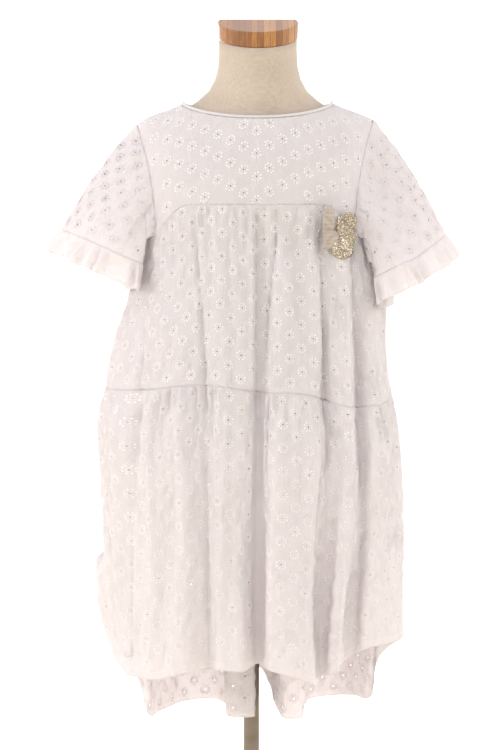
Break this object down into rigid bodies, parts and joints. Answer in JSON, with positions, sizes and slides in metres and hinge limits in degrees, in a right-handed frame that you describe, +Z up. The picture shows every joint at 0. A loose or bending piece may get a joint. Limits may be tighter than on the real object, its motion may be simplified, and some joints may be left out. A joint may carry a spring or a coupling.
{
  "type": "child's tiered eyelet smock dress on a limbless dress form",
  "caption": "Child's white tiered eyelet smock dress with frilled cap sleeves and a fabric bow, on a wood-capped limbless dress form with a pole and round base.",
  "frame": {"origin": "middle of the base plate's underside, on the pole's axis", "axes": "+Z up, the dress faces -Y, +X is the wearer's left"},
  "size_m": [0.5222, 0.303, 1.1243],
  "materials": {
    "white_eyelet_cotton": "matte embroidered cotton with small round eyelets, slightly see-through",
    "white_cotton_frill": "matte gathered eyelet cotton",
    "white_cotton_binding": "matte stitched bias strip",
    "cream_linen": "matte close weave stretched smooth",
    "striped_wood": "satin, narrow glued strips",
    "brushed_steel": "satin",
    "gold_glitter_cloth": "sparkling gold lurex weave",
    "beige_ribbed_ribbon": "matte ribbed"
  },
  "bodies": {
    "root": {"yoke_front": "white_eyelet_cotton", "yoke_back": "white_eyelet_cotton", "neck_binding": "white_cotton_binding", "tier1_front": "white_eyelet_cotton", "tier1_back": "white_eyelet_cotton", "tier2_front": "white_eyelet_cotton", "tier2_back": "white_eyelet_cotton", "sleeve_right": "white_eyelet_cotton", "sleeve_left": "white_eyelet_cotton", "frill_right": "white_cotton_frill", "frill_left": "white_cotton_frill", "brooch_wing": "gold_glitter_cloth", "brooch_ribbon": "beige_ribbed_ribbon", "brooch_pinch": "gold_glitter_cloth", "form_torso": "cream_linen", "form_cap": "striped_wood", "form_pole": "brushed_steel", "form_base": "brushed_steel"}
  },
  "joints": []
}
